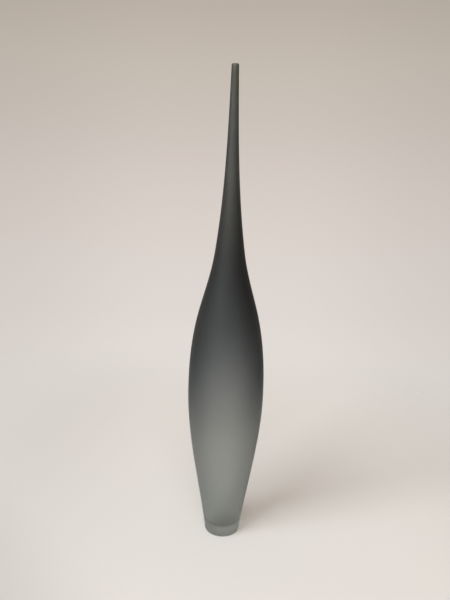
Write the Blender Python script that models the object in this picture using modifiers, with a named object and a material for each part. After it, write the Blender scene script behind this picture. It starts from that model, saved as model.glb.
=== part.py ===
"""Tall blown-glass bottle vase: a clear outer gather with a thick solid foot, cased over a grey inner layer."""

import math
from typing import NamedTuple

import bpy

# Outline of the side, from the foot up: the rise of each stretch, and the radius at its top
FOOT_TO_BELLY = 0.216
BELLY_TO_SHOULDER = 0.124
SHOULDER_TO_NECK = 0.072
NECK_LENGTH = 0.238
FOOT_RADIUS = 0.025
BELLY_RADIUS = 0.0532
SHOULDER_RADIUS = 0.0384
NECK_ROOT_RADIUS = 0.0205
LIP_RADIUS = 0.0047

# How far the side runs out for each unit that it rises, at the same places
FOOT_SPREAD_SHARE = 0.129
BELLY_SPREAD_SHARE = 0.0
SHOULDER_SPREAD_SHARE = -0.281
NECK_ROOT_SPREAD_SHARE = -0.149
LIP_SPREAD_SHARE = -0.024

# Clear outer layer: heavy in the foot and thinning as the neck is drawn out
CLEAR_WALL_FOOT = 0.0032
CLEAR_WALL_BELLY = 0.0026
CLEAR_WALL_SHOULDER = 0.0024
CLEAR_WALL_NECK_ROOT = 0.0019
CLEAR_WALL_LIP = 0.0007

# Grey inner layer: a thin film over the foot that gathers towards the shoulder
GREY_WALL_FOOT = 0.0003
GREY_WALL_BELLY = 0.001
GREY_WALL_SHOULDER = 0.0032
GREY_WALL_NECK_ROOT = 0.0025
GREY_WALL_LIP = 0.0005
GREY_FLOOR = 0.0004

# Solid clear foot under the bubble, and the bubble's rounded bottom
FOOT_THICKNESS = 0.0118
BUBBLE_BOTTOM_RISE = 0.013
BUBBLE_FULLNESS_SHARE = 0.58

# Ground rim of the foot, the polished hollow where the pontil iron was broken off, and the melted lip
FOOT_EDGE_ROUNDING = 0.002
PONTIL_HOLLOW_RADIUS = 0.011
PONTIL_HOLLOW_DEPTH = 0.0012
LIP_ROUNDING = 0.00035
LIP_ROUNDING_MOST_SHARE = 0.8

# The two layers stay this far apart
LAYER_GAP = 0.0003

# Counts of facets
TURN_STEPS = 48
STRETCH_STEPS = 6
BOWL_STEPS = 8
HOLLOW_STEPS = 4
ROUNDING_STEPS = 3
MERGE_DISTANCE = LAYER_GAP / 30


class Station(NamedTuple):
    """One measured level of the vase."""

    height: float
    radius: float
    spread_share: float
    clear_wall: float
    grey_wall: float


BELLY_HEIGHT = FOOT_TO_BELLY
SHOULDER_HEIGHT = BELLY_HEIGHT + BELLY_TO_SHOULDER
NECK_ROOT_HEIGHT = SHOULDER_HEIGHT + SHOULDER_TO_NECK
VASE_HEIGHT = NECK_ROOT_HEIGHT + NECK_LENGTH
BOWL_TOP = FOOT_THICKNESS + BUBBLE_BOTTOM_RISE

STATIONS = (
    Station(0.0, FOOT_RADIUS, FOOT_SPREAD_SHARE, CLEAR_WALL_FOOT, GREY_WALL_FOOT),
    Station(BELLY_HEIGHT, BELLY_RADIUS, BELLY_SPREAD_SHARE, CLEAR_WALL_BELLY, GREY_WALL_BELLY),
    Station(SHOULDER_HEIGHT, SHOULDER_RADIUS, SHOULDER_SPREAD_SHARE, CLEAR_WALL_SHOULDER, GREY_WALL_SHOULDER),
    Station(NECK_ROOT_HEIGHT, NECK_ROOT_RADIUS, NECK_ROOT_SPREAD_SHARE, CLEAR_WALL_NECK_ROOT, GREY_WALL_NECK_ROOT),
    Station(VASE_HEIGHT, LIP_RADIUS, LIP_SPREAD_SHARE, CLEAR_WALL_LIP, GREY_WALL_LIP),
)


def clear_scene():
    """Removes whatever the scene holds."""
    for scene_object in list(bpy.data.objects):
        bpy.data.objects.remove(scene_object, do_unlink=True)


def stretch_at(height):
    """The stations below and above a height, and how far up that stretch the height lies."""
    lower, upper = STATIONS[0], STATIONS[1]
    for lower, upper in zip(STATIONS, STATIONS[1:]):
        if height <= upper.height:
            break
    return lower, upper, (height - lower.height) / (upper.height - lower.height)


def outer_radius(height):
    """The side's radius: a smooth curve that meets each station at its radius and its spread."""
    lower, upper, way = stretch_at(height)
    rise = upper.height - lower.height
    from_lower = (1 + 2 * way) * (1 - way) ** 2 * lower.radius + way * (1 - way) ** 2 * lower.spread_share * rise
    from_upper = way**2 * (3 - 2 * way) * upper.radius - way**2 * (1 - way) * upper.spread_share * rise
    return from_lower + from_upper


def eased(height, field):
    """A wall thickness, which changes gently from one station to the next."""
    lower, upper, way = stretch_at(height)
    ease = way**2 * (3 - 2 * way)
    return getattr(lower, field) * (1 - ease) + getattr(upper, field) * ease


def cavity_radius(height):
    """The inside of the clear layer."""
    return outer_radius(height) - eased(height, "clear_wall")


def lining_radius(height):
    """The outside of the grey layer."""
    return cavity_radius(height) - LAYER_GAP


def bore_radius(height):
    """The inside of the grey layer, which is the inside of the vase."""
    return lining_radius(height) - eased(height, "grey_wall")


def levels(bottom, top):
    """Heights from bottom to top, evenly spaced within each stretch between stations."""
    marks = [bottom] + [s.height for s in STATIONS if bottom < s.height < top] + [top]
    found = [bottom]
    for low, high in zip(marks, marks[1:]):
        found += [low + (high - low) * step / STRETCH_STEPS for step in range(1, STRETCH_STEPS + 1)]
    return found


def side(radius_at, bottom, top):
    """Points of a wall's surface, from bottom to top."""
    return [(radius_at(height), height) for height in levels(bottom, top)]


def bowl(radius_at, floor):
    """Points of the bubble's rounded bottom: from the axis outwards, until it runs into the wall."""
    full = radius_at(BOWL_TOP)
    rise = BOWL_TOP - floor
    spread = (radius_at(BOWL_TOP + rise) - full) / rise
    reach = BUBBLE_FULLNESS_SHARE * rise
    corners = (
        (0.0, floor),
        (BUBBLE_FULLNESS_SHARE * full, floor),
        (full - spread * reach, BOWL_TOP - reach),
        (full, BOWL_TOP),
    )
    points = []
    for step in range(BOWL_STEPS):
        way = step / BOWL_STEPS
        shares = ((1 - way) ** 3, 3 * way * (1 - way) ** 2, 3 * way**2 * (1 - way), way**3)
        points.append(tuple(sum(share * corner[axis] for share, corner in zip(shares, corners)) for axis in (0, 1)))
    return points


def quarter_turn(centre, radius, start_degrees):
    """Points of a quarter circle that runs clockwise, its two ends included."""
    points = []
    for step in range(ROUNDING_STEPS + 1):
        angle = math.radians(start_degrees - 90 * step / ROUNDING_STEPS)
        points.append((centre[0] + radius * math.cos(angle), centre[1] + radius * math.sin(angle)))
    return points


def pontil_hollow():
    """Points of the shallow round hollow under the foot, from its rim in to the axis."""
    sphere_radius = (PONTIL_HOLLOW_RADIUS**2 + PONTIL_HOLLOW_DEPTH**2) / (2 * PONTIL_HOLLOW_DEPTH)
    centre_height = PONTIL_HOLLOW_DEPTH - sphere_radius
    points = []
    for step in range(HOLLOW_STEPS + 1):
        radius = PONTIL_HOLLOW_RADIUS * (1 - step / HOLLOW_STEPS)
        points.append((radius, centre_height + math.sqrt(sphere_radius**2 - radius**2)))
    return points


def lip_rounding(wall):
    """The melted edge's radius, which a thin wall limits."""
    return min(LIP_ROUNDING, LIP_ROUNDING_MOST_SHARE * wall)


def casing_profile():
    """The clear layer: up inside from the cavity's floor, over the lip, down outside and under the foot."""
    rounding = lip_rounding(CLEAR_WALL_LIP)
    edge_height = VASE_HEIGHT - rounding
    lip_edge = quarter_turn((outer_radius(edge_height) - rounding, edge_height), rounding, 90)
    foot_edge_radius = outer_radius(FOOT_EDGE_ROUNDING) - FOOT_EDGE_ROUNDING
    foot_edge = quarter_turn((foot_edge_radius, FOOT_EDGE_ROUNDING), FOOT_EDGE_ROUNDING, 0)
    inside = bowl(cavity_radius, FOOT_THICKNESS - LAYER_GAP) + side(cavity_radius, BOWL_TOP, VASE_HEIGHT)
    outside = side(outer_radius, FOOT_EDGE_ROUNDING, edge_height)[::-1]
    return inside + lip_edge + outside[1:-1] + foot_edge + pontil_hollow()


def lining_profile():
    """The grey layer: up inside from the vase's floor, over the lip, down outside and under the bubble."""
    rounding = lip_rounding(GREY_WALL_LIP)
    edge_height = VASE_HEIGHT - rounding
    lip_edge = quarter_turn((bore_radius(edge_height) + rounding, edge_height), rounding, 180)
    inside = bowl(bore_radius, FOOT_THICKNESS + GREY_FLOOR) + side(bore_radius, BOWL_TOP, edge_height)
    outside = bowl(lining_radius, FOOT_THICKNESS) + side(lining_radius, BOWL_TOP, VASE_HEIGHT)
    return inside[:-1] + lip_edge + outside[::-1]


def glass(name, colour, roughness, transmission):
    """A glass material."""
    material = bpy.data.materials.new(name)
    material.use_nodes = True
    shader = material.node_tree.nodes["Principled BSDF"]
    shader.inputs["Base Color"].default_value = (*colour, 1)
    shader.inputs["Roughness"].default_value = roughness
    shader.inputs["Metallic"].default_value = 0
    shader.inputs["IOR"].default_value = 1.5
    shader.inputs["Transmission Weight"].default_value = transmission
    material.diffuse_color = (*colour, 1)
    return material


def turned(name, profile, material, collection):
    """A solid of revolution about the vase's axis."""
    mesh = bpy.data.meshes.new(name)
    points = [(radius, 0.0, height) for radius, height in profile]
    mesh.from_pydata(points, [(index, index + 1) for index in range(len(points) - 1)], [])
    mesh.materials.append(material)
    solid = bpy.data.objects.new(name, mesh)
    collection.objects.link(solid)
    screw = solid.modifiers.new("Turn", "SCREW")
    screw.axis = "Z"
    screw.angle = math.tau
    screw.steps = TURN_STEPS
    screw.render_steps = TURN_STEPS
    screw.use_merge_vertices = True
    screw.merge_threshold = MERGE_DISTANCE
    screw.use_smooth_shade = True
    return solid


def main():
    """Builds the vase."""
    clear_scene()
    collection = bpy.data.collections.new("Bottle vase")
    bpy.context.scene.collection.children.link(collection)
    satin = glass("Clear satin glass", (0.62, 0.64, 0.62), roughness=0.45, transmission=0.9)
    grey = glass("Grey glass", (0.07, 0.075, 0.078), roughness=0.08, transmission=0.8)
    turned("clear_casing", casing_profile(), satin, collection)
    turned("grey_lining", lining_profile(), grey, collection)


main()
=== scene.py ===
"""Dresses the tall blown-glass bottle vase, and sets up its studio and camera.

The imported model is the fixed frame. Glass shows every facet, so the clear casing and the grey lining are
turned again here with fine facets on the same outline, and each stands for the solid of its own layer.
"""

import logging
import math
from collections.abc import Callable, Sequence
from dataclasses import dataclass
from enum import Enum

import bpy
from mathutils import Euler, Matrix, Vector


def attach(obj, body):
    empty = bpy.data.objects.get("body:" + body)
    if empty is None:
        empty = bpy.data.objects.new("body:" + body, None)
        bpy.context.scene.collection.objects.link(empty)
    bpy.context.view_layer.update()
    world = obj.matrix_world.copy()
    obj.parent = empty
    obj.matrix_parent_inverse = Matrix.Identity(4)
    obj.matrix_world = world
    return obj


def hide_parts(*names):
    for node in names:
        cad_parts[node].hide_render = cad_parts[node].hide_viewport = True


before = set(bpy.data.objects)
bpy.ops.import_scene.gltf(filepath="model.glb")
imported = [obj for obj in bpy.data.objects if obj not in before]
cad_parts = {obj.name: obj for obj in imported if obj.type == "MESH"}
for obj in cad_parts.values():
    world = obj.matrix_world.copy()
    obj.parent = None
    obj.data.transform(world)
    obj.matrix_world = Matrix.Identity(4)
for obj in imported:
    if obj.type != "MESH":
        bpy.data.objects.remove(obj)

log = logging.getLogger("vase")

Node = bpy.types.Node
Socket = bpy.types.NodeSocket
# A profile's point, as radius and height
Point = tuple[float, float]
# One number along each axis
Triple = tuple[float, float, float]
# Red, green and blue, each from 0 to 1
Colour = tuple[float, float, float]

BAKE_MAP = "OFBake"
ON_AXIS = 1e-6
QUARTER = 90.0
OPAQUE = 1.0
EVEN: Triple = (1.0, 1.0, 1.0)
GLASS_BEND = 1.5
FILM_BEND = 1.0


class Skin(Enum):
    """What a ring of the casing's faces is finished as. The value is its material's place."""

    SATIN = 0
    BORE = 1
    GROUND = 2
    POLISHED = 3


class Heading(Enum):
    """Where a quarter circle starts, seen from its centre. The value is in degrees."""

    OUTWARDS = 0.0
    UPWARDS = 90.0
    INWARDS = 180.0


class Sum(Enum):
    """One step of arithmetic on the bench. The value is Blender's name of it."""

    PRODUCT = "MULTIPLY"
    DIFFERENCE = "SUBTRACT"
    LARGER = "MAXIMUM"
    SIZE = "ABSOLUTE"


@dataclass(frozen=True)
class Station:
    """One measured level of the vase: its height, the side's radius and spread, and its two walls."""

    height: float
    radius: float
    spread_share: float
    clear_wall: float
    grey_wall: float


@dataclass(frozen=True)
class Mark:
    """One colour of a ramp, and the height where it stands."""

    height: float
    colour: Colour


@dataclass(frozen=True)
class VaseOutline:
    """The vase's side, walls, bubble and foot, on the same values as the solids."""

    stations: tuple[Station, ...] = (
        Station(height=0.0, radius=0.025, spread_share=0.129, clear_wall=0.0032, grey_wall=0.0003),
        Station(height=0.216, radius=0.0532, spread_share=0.0, clear_wall=0.0026, grey_wall=0.001),
        Station(height=0.340, radius=0.0384, spread_share=-0.281, clear_wall=0.0024, grey_wall=0.0032),
        Station(height=0.412, radius=0.0205, spread_share=-0.149, clear_wall=0.0019, grey_wall=0.0025),
        Station(height=0.650, radius=0.0047, spread_share=-0.024, clear_wall=0.0007, grey_wall=0.0005),
    )
    layer_gap: float = 0.0003
    foot_thickness: float = 0.0118
    grey_floor: float = 0.0004
    bubble_bottom_rise: float = 0.013
    bubble_fullness_share: float = 0.58
    stretch_steps: int = 30
    bowl_steps: int = 28

    @property
    def height(self) -> float:
        """The vase's height."""
        return self.stations[-1].height

    @property
    def bowl_top(self) -> float:
        """The height where the bubble's bottom runs into the wall."""
        return self.foot_thickness + self.bubble_bottom_rise

    def stretch_at(self, height: float) -> tuple[Station, Station, float]:
        """Finds where a height lies between the stations.

        Args:
            height: Height above the floor.

        Returns:
            The stations below and above it, and how far up that stretch it lies, from 0 to 1.
        """
        lower, upper = self.stations[:2]
        for lower, upper in zip(self.stations, self.stations[1:]):
            if height <= upper.height:
                break
        return lower, upper, (height - lower.height) / (upper.height - lower.height)

    def outer_radius(self, height: float) -> float:
        """Gives the outside of the vase, which meets each station at its radius and its spread.

        Args:
            height: Height above the floor.

        Returns:
            The radius there.
        """
        lower, upper, way = self.stretch_at(height)
        rise = upper.height - lower.height
        back = 1 - way
        from_lower = (1 + 2 * way) * back**2 * lower.radius + way * back**2 * lower.spread_share * rise
        from_upper = way**2 * (3 - 2 * way) * upper.radius - way**2 * back * upper.spread_share * rise
        return from_lower + from_upper

    def walls(self, height: float) -> tuple[float, float]:
        """Gives the two layers' thicknesses, which change gently from station to station.

        Args:
            height: Height above the floor.

        Returns:
            The clear wall and the grey wall there.
        """
        lower, upper, way = self.stretch_at(height)
        ease = way**2 * (3 - 2 * way)
        clear = lower.clear_wall + (upper.clear_wall - lower.clear_wall) * ease
        return clear, lower.grey_wall + (upper.grey_wall - lower.grey_wall) * ease

    def lining_radius(self, height: float) -> float:
        """The outside of the grey layer at a height."""
        return self.outer_radius(height) - self.walls(height)[0] - self.layer_gap

    def bore_radius(self, height: float) -> float:
        """The inside of the vase at a height."""
        return self.lining_radius(height) - self.walls(height)[1]

    def side(self, radius_at: Callable[[float], float], bottom: float, top: float) -> list[Point]:
        """Draws a wall's surface.

        Args:
            radius_at: The surface's radius by height.
            bottom: Where it starts.
            top: Where it ends.

        Returns:
            Its points from bottom to top, evenly spaced within each stretch.
        """
        marks = [bottom] + [s.height for s in self.stations if bottom < s.height < top] + [top]
        heights = [bottom]
        for low, high in zip(marks, marks[1:]):
            step = (high - low) / self.stretch_steps
            heights += [low + step * count for count in range(1, self.stretch_steps + 1)]
        return [(radius_at(height), height) for height in heights]

    def bowl(self, radius_at: Callable[[float], float], floor: float) -> list[Point]:
        """Draws the bubble's rounded bottom.

        Args:
            radius_at: The radius by height of the wall that it runs into.
            floor: Its lowest height, on the axis.

        Returns:
            Its points from the axis outwards, without the last one, where the wall starts.
        """
        full = radius_at(self.bowl_top)
        rise = self.bowl_top - floor
        spread = (radius_at(self.bowl_top + rise) - full) / rise
        reach = self.bubble_fullness_share * rise
        corners = (
            (0.0, floor),
            (self.bubble_fullness_share * full, floor),
            (full - spread * reach, self.bowl_top - reach),
            (full, self.bowl_top),
        )
        points = []
        for count in range(self.bowl_steps):
            way = count / self.bowl_steps
            back = 1 - way
            shares = (back**3, 3 * way * back**2, 3 * way**2 * back, way**3)
            radius = sum(share * corner[0] for share, corner in zip(shares, corners))
            height = sum(share * corner[1] for share, corner in zip(shares, corners))
            points.append((radius, height))
        return points


def quarter_turn(centre: Point, radius: float, start: Heading, steps: int) -> list[Point]:
    """Draws a quarter circle that runs clockwise.

    Args:
        centre: Its centre.
        radius: Its radius.
        start: Where it starts.
        steps: How many chords it has.

    Returns:
        Its points, the two ends included.
    """
    angles = [math.radians(start.value - QUARTER * count / steps) for count in range(steps + 1)]
    return [(centre[0] + radius * math.cos(a), centre[1] + radius * math.sin(a)) for a in angles]


def opaque(colour: Colour) -> tuple[float, float, float, float]:
    """The colour with the fourth number that a socket asks for."""
    return (*colour, OPAQUE)


@dataclass(frozen=True)
class Lathe:
    """Turns a profile about the vase's axis."""

    turn_steps: int = 144

    def rings(self, profile: Sequence[Point]) -> tuple[list[Vector], list[list[int]]]:
        """Places the vertices.

        Args:
            profile: Points as radius and height. One on the axis becomes a single vertex.

        Returns:
            The vertices, and for each profile point its vertices' numbers round the axis.
        """
        vertices: list[Vector] = []
        rings: list[list[int]] = []
        for radius, height in profile:
            first = len(vertices)
            if radius < ON_AXIS:
                vertices.append(Vector((0.0, 0.0, height)))
                rings.append([first] * self.turn_steps)
                continue
            for step in range(self.turn_steps):
                angle = math.tau * step / self.turn_steps
                vertices.append(Vector((radius * math.cos(angle), radius * math.sin(angle), height)))
            rings.append(list(range(first, first + self.turn_steps)))
        return vertices, rings

    def bands(
        self, profile: Sequence[Point], rings: Sequence[list[int]]
    ) -> tuple[list[list[int]], list[Point]]:
        """Joins each ring to the next by a band of faces, which are triangles at the axis.

        Args:
            profile: Points as radius and height.
            rings: For each of them its vertices' numbers round the axis.

        Returns:
            The faces, and the places of their corners on a map that follows the turn and the profile.
        """
        lengths = [0.0]
        for start, end in zip(profile, profile[1:]):
            lengths.append(lengths[-1] + math.dist(start, end))
        shares = [length / lengths[-1] for length in lengths]
        faces: list[list[int]] = []
        places: list[Point] = []
        for below, above, low, high in zip(rings, rings[1:], shares, shares[1:]):
            for step in range(self.turn_steps):
                after = (step + 1) % self.turn_steps
                left, right = step / self.turn_steps, (step + 1) / self.turn_steps
                corners = (
                    (above[step], (left, high)),
                    (above[after], (right, high)),
                    (below[after], (right, low)),
                    (below[step], (left, low)),
                )
                kept = dict(corners)
                faces.append(list(kept))
                places += kept.values()
        return faces, places

    def turn(self, name: str, profile: Sequence[Point], skins: Sequence[Skin] = ()) -> bpy.types.Object:
        """Turns the profile.

        Args:
            name: The piece's name.
            profile: Points as radius and height, from the axis on, with the inside on their right.
            skins: The finish of the band after each point, where the piece has more than one.

        Returns:
            The new object, smooth, with its map.
        """
        vertices, rings = self.rings(profile)
        faces, places = self.bands(profile, rings)
        mesh = bpy.data.meshes.new(name)
        mesh.from_pydata(vertices, [], faces)
        if skins:
            looks = [skin.value for skin in skins[:-1] for _ in range(self.turn_steps)]
            mesh.polygons.foreach_set("material_index", looks)
        bake_map = mesh.uv_layers.new(name=BAKE_MAP)
        bake_map.uv.foreach_set("vector", [number for place in places for number in place])
        mesh.shade_smooth()
        piece = bpy.data.objects.new(name, mesh)
        bpy.context.scene.collection.objects.link(piece)
        return piece


class Bench:
    """Lays out the nodes of one material or of the world."""

    def __init__(self, owner: bpy.types.Material | bpy.types.World, output: str) -> None:
        """Starts with nothing but the output.

        Args:
            owner: The material or the world.
            output: Its output node's type.
        """
        owner.use_nodes = True
        self.tree = owner.node_tree
        self.tree.nodes.clear()
        self.output = self.add(output)

    @classmethod
    def of_world(cls, world: bpy.types.World) -> "Bench":
        """A bench for the world."""
        return cls(world, "ShaderNodeOutputWorld")

    @classmethod
    def of_material(cls, material: bpy.types.Material) -> "Bench":
        """A bench for a material."""
        return cls(material, "ShaderNodeOutputMaterial")

    def add(self, kind: str, settings: dict[str, object] | None = None, **sockets: object) -> Node:
        """Adds a node.

        Args:
            kind: Its type.
            settings: Values of its own properties.
            **sockets: What its inputs get, a value or an output each, by name with _ for a space.

        Returns:
            The node.
        """
        node = self.tree.nodes.new(kind)
        for name, value in (settings or {}).items():
            setattr(node, name, value)
        for name, value in sockets.items():
            self.feed(node, name.replace("_", " "), value)
        return node

    def feed(self, node: Node, socket: str | int, value: object) -> None:
        """Sets or links one input socket.

        Args:
            node: The node.
            socket: The input's name or number.
            value: A value, or the output that feeds it.
        """
        if isinstance(value, Socket):
            self.tree.links.new(value, node.inputs[socket])
        else:
            node.inputs[socket].default_value = value

    def show(self, shader: Node) -> None:
        """Makes a shader what the surface looks like."""
        self.feed(self.output, "Surface", shader.outputs[0])

    def fill(self, body: Node) -> None:
        """Makes a shader what the inside does to light."""
        self.feed(self.output, "Volume", body.outputs[0])

    def sum_up(self, step: Sum, first: object, second: object = 0.0) -> Socket:
        """Adds one step of arithmetic.

        Args:
            step: Which one.
            first: A number, or the output that gives it.
            second: Another, where the step takes two.

        Returns:
            The result's socket.
        """
        node = self.add("ShaderNodeMath", {"operation": step.value})
        self.feed(node, 0, first)
        self.feed(node, 1, second)
        return node.outputs[0]

    def distance(self, value: Socket, middle: float) -> Socket:
        """How far a number lies from a middle, either way."""
        return self.sum_up(Sum.SIZE, self.sum_up(Sum.DIFFERENCE, value, middle))

    def along(self, place: Socket, direction: Triple) -> Socket:
        """Measures a place along a direction.

        Args:
            place: The place's socket.
            direction: The direction. A longer one measures in smaller units.

        Returns:
            The measure's socket.
        """
        node = self.add("ShaderNodeVectorMath", {"operation": "DOT_PRODUCT"})
        self.feed(node, 0, place)
        self.feed(node, 1, direction)
        return node.outputs["Value"]

    def place(self) -> Socket:
        """The place on the piece, in metres."""
        return self.add("ShaderNodeTexCoord").outputs["Object"]

    def noise(self, stretch: Triple, scale: float, detail: float) -> Socket:
        """Adds a random pattern.

        Args:
            stretch: How many times as fast it runs along each axis.
            scale: How many of its features fit in a metre.
            detail: How many finer layers it has.

        Returns:
            Its value's socket, about 0.5 on average.
        """
        placed = self.add("ShaderNodeMapping", Vector=self.place(), Scale=stretch)
        pattern = self.add("ShaderNodeTexNoise", Vector=placed.outputs[0], Scale=scale, Detail=detail)
        return pattern.outputs["Fac"]

    def spread(self, value: Socket, middle: float, reach: float) -> Socket:
        """Turns a pattern into numbers about a middle.

        Args:
            value: The pattern, about 0.5 on average.
            middle: The number that 0.5 becomes.
            reach: How far from it 0 and 1 lie.

        Returns:
            The numbers' socket.
        """
        return self.add(
            "ShaderNodeMapRange", Value=value, To_Min=middle - reach, To_Max=middle + reach
        ).outputs["Result"]

    def ease(self, value: Socket, start: float, end: float, last: float, first: float = 1.0) -> Socket:
        """Adds a number that eases from a first to a last.

        Args:
            value: What it follows.
            start: Where it is still the first number.
            end: Where it has become the last number.
            last: The last number.
            first: The first number.

        Returns:
            The number's socket.
        """
        return self.add(
            "ShaderNodeMapRange",
            {"interpolation_type": "SMOOTHSTEP"},
            Value=value,
            From_Min=start,
            From_Max=end,
            To_Min=first,
            To_Max=last,
        ).outputs["Result"]

    def ramp(self, height: Socket, marks: Sequence[Mark]) -> Socket:
        """Adds a colour that changes smoothly with height.

        Args:
            height: The height's socket.
            marks: The colours from the lowest up.

        Returns:
            The colour's socket.
        """
        low, top = marks[0].height, marks[-1].height
        share = self.add("ShaderNodeMapRange", Value=height, From_Min=low, From_Max=top)
        ramp = self.add("ShaderNodeValToRGB", Fac=share.outputs["Result"])
        ramp.color_ramp.interpolation = "B_SPLINE"
        stops = ramp.color_ramp.elements
        inner = [stops.new((mark.height - low) / (top - low)) for mark in marks[1:-1]]
        for stop, mark in zip((stops[0], *inner, stops[-1]), marks):
            stop.color = opaque(mark.colour)
        return ramp.outputs["Color"]

    def grey(self, tone: Socket) -> Socket:
        """A grey of the given tone."""
        return self.add("ShaderNodeCombineColor", Red=tone, Green=tone, Blue=tone).outputs[0]

    def times(self, colour: Colour | Socket, number: Socket) -> Socket:
        """Scales a colour."""
        scaled = self.add("ShaderNodeVectorMath", {"operation": "SCALE"}, Vector=colour, Scale=number)
        return scaled.outputs[0]

    def bump(self, height: Socket, strength: float, distance: float) -> Socket:
        """Adds a surface relief.

        Args:
            height: Its height from 0 to 1.
            strength: How much of it shows.
            distance: Its depth in metres.

        Returns:
            The normal's socket.
        """
        return self.add("ShaderNodeBump", Height=height, Strength=strength, Distance=distance).outputs[0]

    def mix(self, share: Socket, first: Node, second: Node) -> Node:
        """Mixes two shaders.

        Args:
            share: How much of the second shows, from 0 to 1.
            first: One shader.
            second: The other.

        Returns:
            The mixed shader.
        """
        mixed = self.add("ShaderNodeMixShader", Fac=share)
        self.feed(mixed, 1, first.outputs[0])
        self.feed(mixed, 2, second.outputs[0])
        return mixed

    def glass(self, clearness: float = 1.0, **sockets: object) -> None:
        """Shows the glass shader.

        Args:
            clearness: How much of the light goes in.
            **sockets: What its other inputs get, by name with _ for a space.
        """
        self.show(self.add("ShaderNodeBsdfPrincipled", Transmission_Weight=clearness, **sockets))


@dataclass(frozen=True)
class SatinFinish:
    """Acid-etched outside of the casing: silky, with a fine grain, and tinted by the grey behind it.

    A dark ring of painted shadow lies on the tint round the bubble's bottom. The belly deepens to a bluer
    grey towards its outline, where one looks through more of the grey.
    """

    marks: tuple[Mark, ...] = (
        Mark(0.00, (0.83, 0.84, 0.82)),
        Mark(0.05, (0.68, 0.76, 0.73)),
        Mark(0.10, (0.88, 0.90, 0.90)),
        Mark(0.15, (0.97, 1.00, 0.99)),
        Mark(0.22, (0.54, 0.56, 0.58)),
        Mark(0.30, (0.63, 0.67, 0.72)),
        Mark(0.36, (0.12, 0.14, 0.18)),
        Mark(0.42, (0.20, 0.21, 0.20)),
        Mark(0.50, (0.50, 0.49, 0.46)),
        Mark(0.56, (0.26, 0.28, 0.28)),
        Mark(0.65, (0.24, 0.25, 0.20)),
    )
    # painted shadow: a dark ring on the tint round the bubble's bottom
    shade_ring_height: float = 0.021
    shade_ring_reach: float = 0.0045
    shade_ring_tone: float = 0.66
    limb_height: float = 0.27
    limb_reach: float = 0.11
    limb_turn: float = 0.6
    limb_colour: Colour = (0.24, 0.32, 0.35)
    roughness: float = 0.62
    roughness_reach: float = 0.05
    drift_reach: float = 0.03
    drift_scale: float = 9.0
    drift_stretch: Triple = (2.0, 2.0, 0.6)
    drift_detail: float = 2.0
    grain_scale: float = 1400.0
    grain_detail: float = 2.0
    grain_strength: float = 0.25
    grain_depth: float = 0.00002

    def deepen(self, bench: Bench, tint: Socket, height: Socket) -> Socket:
        """Deepens the belly's tint towards its outline.

        Args:
            bench: The material's bench.
            tint: The tint's socket.
            height: The height's socket.

        Returns:
            The deeper tint's socket.
        """
        near = bench.ease(bench.distance(height, self.limb_height), 0.0, self.limb_reach, last=0.0)
        turned = bench.add("ShaderNodeLayerWeight").outputs["Facing"]
        away = bench.ease(turned, self.limb_turn, 0.0, last=0.0)
        return bench.add(
            "ShaderNodeMixRGB",
            {"blend_type": "MULTIPLY"},
            Fac=bench.sum_up(Sum.PRODUCT, near, away),
            Color1=tint,
            Color2=opaque(self.limb_colour),
        ).outputs["Color"]

    def tint(self, bench: Bench) -> Socket:
        """Tints the glass by height, with a ring of painted shadow at the bubble's bottom.

        Args:
            bench: The material's bench.

        Returns:
            The tint's socket.
        """
        height = bench.add("ShaderNodeSeparateXYZ", Vector=bench.place()).outputs["Z"]
        off_shade_ring = bench.distance(height, self.shade_ring_height)
        # painted shadow: the ring darkens the tint round the bubble's bottom
        shade_ring = bench.ease(off_shade_ring, self.shade_ring_reach, 0.0, last=self.shade_ring_tone)
        return self.deepen(bench, bench.times(bench.ramp(height, self.marks), shade_ring), height)

    def material(self) -> bpy.types.Material:
        """Makes the material.

        Returns:
            The material.
        """
        material = bpy.data.materials.new("satin_glass")
        bench = Bench.of_material(material)
        drift = bench.noise(self.drift_stretch, self.drift_scale, self.drift_detail)
        grain = bench.noise(EVEN, self.grain_scale, self.grain_detail)
        bench.glass(
            Base_Color=bench.times(self.tint(bench), bench.spread(drift, 1.0, self.drift_reach)),
            Roughness=bench.spread(drift, self.roughness, self.roughness_reach),
            IOR=GLASS_BEND,
            Normal=bench.bump(grain, self.grain_strength, self.grain_depth),
        )
        return material


@dataclass(frozen=True)
class ClearFinish:
    """Clear glass with a faint ripple: silky in the bore, which the acid also reached, or bright."""

    name: str
    roughness: float
    roughness_reach: float = 0.02
    ripple_scale: float = 60.0
    ripple_stretch: Triple = (1.0, 1.0, 0.35)
    ripple_detail: float = 1.0
    ripple_strength: float = 0.12
    ripple_depth: float = 0.0002
    colour: Colour = (0.99, 1.0, 0.99)

    def material(self) -> bpy.types.Material:
        """Makes the material.

        Returns:
            The material.
        """
        material = bpy.data.materials.new(self.name)
        bench = Bench.of_material(material)
        ripple = bench.noise(self.ripple_stretch, self.ripple_scale, self.ripple_detail)
        bench.glass(
            Base_Color=opaque(self.colour),
            Roughness=bench.spread(ripple, self.roughness, self.roughness_reach),
            IOR=GLASS_BEND,
            Normal=bench.bump(ripple, self.ripple_strength, self.ripple_depth),
        )
        return material


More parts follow.
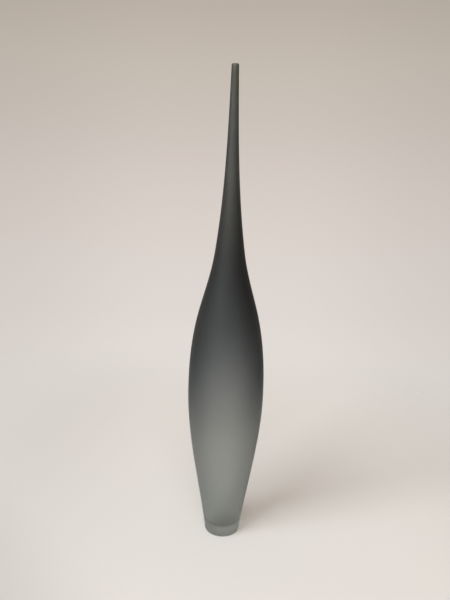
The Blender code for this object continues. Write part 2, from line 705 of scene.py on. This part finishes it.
@dataclass(frozen=True)
class GroundFinish:
    """The foot's flat ring, ground on a wheel and rubbed by whatever the vase has stood on."""

    tone: float = 0.68
    tone_reach: float = 0.10
    clearness: float = 0.45
    roughness: float = 0.8
    roughness_reach: float = 0.12
    scuff_scale: float = 260.0
    scuff_detail: float = 4.0
    scuff_strength: float = 0.5
    scuff_depth: float = 0.0001

    def material(self) -> bpy.types.Material:
        """Makes the material.

        Returns:
            The material.
        """
        material = bpy.data.materials.new("ground_glass")
        bench = Bench.of_material(material)
        scuffs = bench.noise(EVEN, self.scuff_scale, self.scuff_detail)
        bench.glass(
            self.clearness,
            Base_Color=bench.grey(bench.spread(scuffs, self.tone, self.tone_reach)),
            Roughness=bench.spread(scuffs, self.roughness, self.roughness_reach),
            IOR=GLASS_BEND,
            Normal=bench.bump(scuffs, self.scuff_strength, self.scuff_depth),
        )
        return material


@dataclass(frozen=True)
class GreyGlass:
    """The grey gather. It is fused to the casing, so it bends no light and only takes some away."""

    colour: Colour = (0.0, 0.05, 0.045)
    density: float = 300.0
    roughness: float = 0.0
    cord_scale: float = 90.0
    cord_stretch: Triple = (1.0, 1.0, 0.04)
    cord_detail: float = 2.0
    cord_middle: float = 0.985
    cord_reach: float = 0.015

    def material(self) -> bpy.types.Material:
        """Makes the material, with the faint upright cords that drawing a neck leaves.

        Returns:
            The material.
        """
        material = bpy.data.materials.new("grey_gather")
        bench = Bench.of_material(material)
        cords = bench.noise(self.cord_stretch, self.cord_scale, self.cord_detail)
        bench.glass(
            Base_Color=bench.grey(bench.spread(cords, self.cord_middle, self.cord_reach)),
            Roughness=self.roughness,
            IOR=FILM_BEND,
        )
        body = bench.add("ShaderNodeVolumeAbsorption", Color=opaque(self.colour), Density=self.density)
        bench.fill(body)
        return material


@dataclass(frozen=True)
class ClearCasing:
    """The clear outer glass: the whole wall, the heavy foot with its polished hollow, and the lip."""

    outline: VaseOutline
    lathe: Lathe
    foot_edge_rounding: float = 0.002
    hollow_radius: float = 0.011
    hollow_depth: float = 0.0012
    hollow_steps: int = 12
    hollow_rim: float = 0.0003
    rest_steps: int = 4
    lip_rounding: float = 0.00035
    rounding_steps: int = 6
    satin: SatinFinish = SatinFinish()
    dull: ClearFinish = ClearFinish("bore_glass", roughness=0.62)
    ground: GroundFinish = GroundFinish()
    polished: ClearFinish = ClearFinish("polished_glass", roughness=0.06)

    @property
    def lip_start(self) -> float:
        """The height where the lip's rounding starts."""
        return self.outline.height - self.lip_rounding

    def bore(self) -> list[Point]:
        """Draws the inside of the vase.

        Returns:
            Its points from the bubble's floor up to the lip, whose first point is its last.
        """
        floor = self.outline.foot_thickness + self.outline.grey_floor
        inside = self.outline.side(self.outline.bore_radius, self.outline.bowl_top, self.lip_start)
        return self.outline.bowl(self.outline.bore_radius, floor) + inside

    def lip(self) -> list[Point]:
        """Draws the lip, rounded at both edges.

        Returns:
            Its points from the bore to the outside.
        """
        start, rounding, steps = self.lip_start, self.lip_rounding, self.rounding_steps
        inner = (self.outline.bore_radius(start) + rounding, start)
        outer = (self.outline.outer_radius(start) - rounding, start)
        inner_edge = quarter_turn(inner, rounding, Heading.INWARDS, steps)
        return inner_edge + quarter_turn(outer, rounding, Heading.UPWARDS, steps)

    def outside(self) -> list[Point]:
        """Draws the outside.

        Returns:
            Its points from below the lip down and round the foot's edge, up to the flat ring.
        """
        rounding = self.foot_edge_rounding
        wall = self.outline.side(self.outline.outer_radius, rounding, self.lip_start)
        centre = (self.outline.outer_radius(rounding) - rounding, rounding)
        foot_edge = quarter_turn(centre, rounding, Heading.OUTWARDS, self.rounding_steps)
        return wall[::-1][1:-1] + foot_edge[:-1]

    def rest(self) -> list[Point]:
        """Draws the flat ring that the vase stands on.

        Returns:
            Its points from its outer edge inwards.
        """
        outer = self.outline.outer_radius(self.foot_edge_rounding) - self.foot_edge_rounding
        inner = self.hollow_radius + self.hollow_rim
        shares = [count / self.rest_steps for count in range(self.rest_steps + 1)]
        return [(outer + (inner - outer) * share, 0.0) for share in shares]

    def hollow(self) -> list[Point]:
        """Draws the polished hollow where the iron was broken off, which is part of a ball.

        Returns:
            Its points from its rim to the axis.
        """
        ball = (self.hollow_radius**2 + self.hollow_depth**2) / (2 * self.hollow_depth)
        centre = self.hollow_depth - ball
        shares = [1 - count / self.hollow_steps for count in range(self.hollow_steps + 1)]
        radii = [self.hollow_radius * share for share in shares]
        return [(radius, centre + math.sqrt(ball**2 - radius**2)) for radius in radii]

    def build(self) -> bpy.types.Object:
        """Turns the casing and gives each stretch of its surface its finish.

        Returns:
            The piece.
        """
        stretches = (
            (self.bore()[:-1], Skin.BORE),
            (self.lip(), Skin.SATIN),
            (self.outside(), Skin.SATIN),
            (self.rest(), Skin.GROUND),
            (self.hollow(), Skin.POLISHED),
        )
        profile = [point for points, _ in stretches for point in points]
        skins = [skin for points, skin in stretches for _ in points]
        piece = self.lathe.turn("casing", profile, skins)
        for finish in (self.satin, self.dull, self.ground, self.polished):
            piece.data.materials.append(finish.material())
        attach(piece, "root")
        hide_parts("clear_casing")
        return piece


@dataclass(frozen=True)
class GreyLining:
    """The grey inner glass, fused into the wall just behind the skin of the bore."""

    outline: VaseOutline
    lathe: Lathe
    skin: float = 0.00004
    lip_depth: float = 0.0008
    glass: GreyGlass = GreyGlass()

    def inner_radius(self, height: float) -> float:
        """The lining's inside at a height."""
        return self.outline.bore_radius(height) + self.skin

    def outer_radius(self, height: float) -> float:
        """The lining's outside at a height."""
        return self.outline.lining_radius(height) + self.skin

    def build(self) -> bpy.types.Object:
        """Turns the lining and dresses it.

        Returns:
            The piece.
        """
        outline = self.outline
        top = outline.height - self.lip_depth
        floor = outline.foot_thickness
        inside = outline.bowl(self.inner_radius, floor + outline.grey_floor - self.skin)
        inside += outline.side(self.inner_radius, outline.bowl_top, top)
        outside = outline.bowl(self.outer_radius, floor - self.skin)
        outside += outline.side(self.outer_radius, outline.bowl_top, top)
        piece = self.lathe.turn("lining", inside + outside[::-1])
        piece.data.materials.append(self.glass.material())
        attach(piece, "root")
        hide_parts("grey_lining")
        return piece


@dataclass(frozen=True)
class Lamp:
    """One soft lamp: a square panel that faces a point."""

    name: str
    place: Triple
    aim: Triple
    side: float
    power: float
    colour: Colour = (1.0, 1.0, 1.0)

    def hang(self) -> None:
        """Hangs the lamp, out of the camera's sight."""
        light = bpy.data.lights.new(self.name, "AREA")
        light.shape = "SQUARE"
        light.size = self.side
        light.energy = self.power
        light.color = self.colour
        lamp = bpy.data.objects.new(self.name, light)
        lamp.location = self.place
        facing = Vector(self.aim) - Vector(self.place)
        lamp.rotation_euler = facing.to_track_quat("-Z", "Y").to_euler()
        lamp.visible_camera = False
        bpy.context.scene.collection.objects.link(lamp)


@dataclass(frozen=True)
class PaperFinish:
    """Matt cream paper, which gives way to the backdrop at its edge and from below."""

    colour: Colour = (0.81, 0.775, 0.735)
    roughness: float = 0.9
    # painted shade: the paper grows darker to both sides
    side_middle: float = 0.1
    side_start: float = 0.15
    side_end: float = 0.5
    side_shade_tone: float = 0.88
    # painted shadow towards the paper's near left corner
    corner: Triple = (-1.0, -1.0, 0.0)
    corner_start: float = 0.24
    corner_end: float = 0.5
    corner_shade_tone: float = 0.86
    fade_start: float = 0.35
    fade_end: float = 1.0
    fibre_scale: float = 700.0
    fibre_detail: float = 2.0
    fibre_reach: float = 0.008
    fibre_strength: float = 0.05
    fibre_depth: float = 0.0001

    def tone(self, bench: Bench, fibres: Socket) -> Socket:
        """Paints shade on the paper: a little darker to both sides, and a painted shadow in its near left
        corner.

        Args:
            bench: The material's bench.
            fibres: The fibres' pattern.

        Returns:
            The tone's socket.
        """
        across = bench.add("ShaderNodeSeparateXYZ", Vector=bench.place()).outputs["X"]
        off_middle = bench.distance(across, self.side_middle)
        # painted shade, darker to both sides
        sides = bench.ease(off_middle, self.side_start, self.side_end, last=self.side_shade_tone)
        to_corner = bench.along(bench.place(), self.corner)
        # painted shadow in the near left corner
        corner = bench.ease(to_corner, self.corner_start, self.corner_end, last=self.corner_shade_tone)
        tone = bench.sum_up(Sum.PRODUCT, bench.spread(fibres, 1.0, self.fibre_reach), sides)
        return bench.sum_up(Sum.PRODUCT, tone, corner)

    def gone(self, bench: Bench) -> Socket:
        """Lets the paper fade out far from the vase, and leaves it out from below.

        Args:
            bench: The material's bench.

        Returns:
            The socket of how much of it is gone.
        """
        reach = bench.add("ShaderNodeVectorMath", {"operation": "LENGTH"})
        bench.feed(reach, 0, bench.place())
        far = bench.ease(reach.outputs["Value"], self.fade_start, self.fade_end, last=1.0, first=0.0)
        return bench.sum_up(Sum.LARGER, far, bench.add("ShaderNodeNewGeometry").outputs["Backfacing"])

    def material(self) -> bpy.types.Material:
        """Makes the material.

        Returns:
            The material.
        """
        material = bpy.data.materials.new("cream_paper")
        bench = Bench.of_material(material)
        fibres = bench.noise(EVEN, self.fibre_scale, self.fibre_detail)
        paper = bench.add(
            "ShaderNodeBsdfPrincipled",
            Base_Color=bench.times(self.colour, self.tone(bench, fibres)),
            Roughness=self.roughness,
            Normal=bench.bump(fibres, self.fibre_strength, self.fibre_depth),
        )
        bench.show(bench.mix(self.gone(bench), paper, bench.add("ShaderNodeBsdfTransparent")))
        return material


@dataclass(frozen=True)
class Backdrop:
    """What lies round the paper: a cream wall with painted shade that darkens it upwards, and the dim
    light of the room.
    """

    # painted shade: the wall's cream grows darker upwards
    marks: tuple[Mark, ...] = (
        Mark(-0.40, (0.80, 0.76, 0.72)),
        Mark(-0.25, (0.74, 0.69, 0.65)),
        Mark(-0.10, (0.72, 0.65, 0.61)),
        Mark(0.02, (0.67, 0.60, 0.56)),
        Mark(0.12, (0.60, 0.54, 0.49)),
        Mark(0.22, (0.56, 0.50, 0.44)),
        Mark(0.30, (0.50, 0.44, 0.38)),
        Mark(0.60, (0.42, 0.37, 0.32)),
    )
    # painted shade: the wall grows darker to both sides
    side_start: float = 0.10
    side_end: float = 0.45
    side_shade_tone: float = 0.90
    bright_side: Triple = (-0.65, 0.65, -0.3)
    side_reach: float = 0.9
    dark_share: float = 0.15
    room_colour: Colour = (1.0, 0.88, 0.78)
    room_strength: float = 0.42

    def wall(self, bench: Bench, facing: Socket) -> Socket:
        """Colours the wall, with painted shade that darkens it upwards and a little to both sides.

        Args:
            bench: The world's bench.
            facing: The direction's socket.

        Returns:
            The colour's socket.
        """
        along = bench.add("ShaderNodeSeparateXYZ", Vector=facing).outputs
        across = bench.sum_up(Sum.SIZE, along["X"])
        # painted shade to both sides
        tone = bench.ease(across, self.side_start, self.side_end, last=self.side_shade_tone)
        return bench.times(bench.ramp(along["Z"], self.marks), tone)

    def world(self) -> bpy.types.World:
        """Makes the world: the wall for the camera and the glass, and the room's light for the rest.

        Returns:
            The world.
        """
        world = bpy.data.worlds.new("backdrop")
        bench = Bench.of_world(world)
        facing = bench.add("ShaderNodeTexCoord").outputs["Generated"]
        wall = self.wall(bench, facing)
        to_bright = bench.along(facing, self.bright_side)
        side = bench.ease(to_bright, -self.side_reach, self.side_reach, last=1.0, first=self.dark_share)
        path = bench.add("ShaderNodeLightPath").outputs
        to_glass = bench.sum_up(Sum.LARGER, path["Is Glossy Ray"], path["Is Transmission Ray"])
        dim = opaque(self.room_colour)
        room = bench.add("ShaderNodeBackground", Color=dim, Strength=self.room_strength)
        around = bench.add("ShaderNodeBackground", Color=wall, Strength=side)
        seen = bench.add("ShaderNodeBackground", Color=wall)
        bench.show(bench.mix(path["Is Camera Ray"], bench.mix(to_glass, room, around), seen))
        return world


@dataclass(frozen=True)
class Studio:
    """A round sheet of paper with the vase in its middle, two soft lamps and the backdrop."""

    floor_drop: float = 0.0003
    floor_radius: float = 1.1
    floor_rings: int = 12
    lathe: Lathe = Lathe(turn_steps=96)
    lamps: tuple[Lamp, ...] = (
        Lamp(
            "window_lamp",
            place=(-5.0, -3.9, 5.0),
            aim=(0.0, 0.0, 0.2),
            side=4.6,
            power=467.0,
            colour=(0.86, 0.94, 1.0),
        ),
        Lamp("front_lamp", place=(-0.3, -3.2, 3.6), aim=(0.0, 0.0, 0.0), side=3.0, power=74.0),
    )
    paper: PaperFinish = PaperFinish()
    backdrop: Backdrop = Backdrop()

    def floor(self) -> bpy.types.Object:
        """Lays the sheet of paper just under the vase.

        Returns:
            The floor.
        """
        radii = [self.floor_radius * count / self.floor_rings for count in range(self.floor_rings + 1)]
        floor = self.lathe.turn("floor", [(radius, -self.floor_drop) for radius in radii])
        floor.data.materials.append(self.paper.material())
        return floor

    def build(self) -> bpy.types.Object:
        """Sets up the studio.

        Returns:
            Its floor.
        """
        floor = self.floor()
        bpy.context.scene.world = self.backdrop.world()
        for lamp in self.lamps:
            lamp.hang()
        bpy.context.scene.view_settings.view_transform = "Standard"
        return floor


@dataclass(frozen=True)
class PhotoCamera:
    """The camera as the photograph was taken: a little over a vase's height away, looking down."""

    place: Triple = (-0.00467, -0.69438, 0.49609)
    tilt_degrees: float = 78.0
    roll: float = 0.02834
    sensor_width: float = 36.0
    lens: float = 31.116

    def build(self) -> bpy.types.Object:
        """Makes the camera and gives it to the scene.

        Returns:
            The camera.
        """
        data = bpy.data.cameras.new("photo_camera")
        data.sensor_width = self.sensor_width
        data.lens = self.lens
        camera = bpy.data.objects.new("photo_camera", data)
        tilt = Euler((math.radians(self.tilt_degrees), 0.0, 0.0)).to_matrix().to_4x4()
        camera.matrix_world = Matrix.Translation(self.place) @ tilt @ Matrix.Rotation(self.roll, 4, "Z")
        bpy.context.scene.collection.objects.link(camera)
        bpy.context.scene.camera = camera
        return camera


def main() -> None:
    """Builds the vase, the studio and the camera in order, and keeps the sizes."""
    logging.basicConfig(level=logging.INFO, format="%(name)s: %(message)s")
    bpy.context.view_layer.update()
    outline = VaseOutline()
    lathe = Lathe()
    for maker in (ClearCasing(outline, lathe), GreyLining(outline, lathe), Studio()):
        piece = maker.build()
        log.info("%s has %d faces", piece.name, len(piece.data.polygons))
    camera = PhotoCamera().build()
    log.info("%s stands at %.3f, %.3f, %.3f", camera.name, *camera.location)
    bpy.context.view_layer.update()


if __name__ == "__main__":
    main()
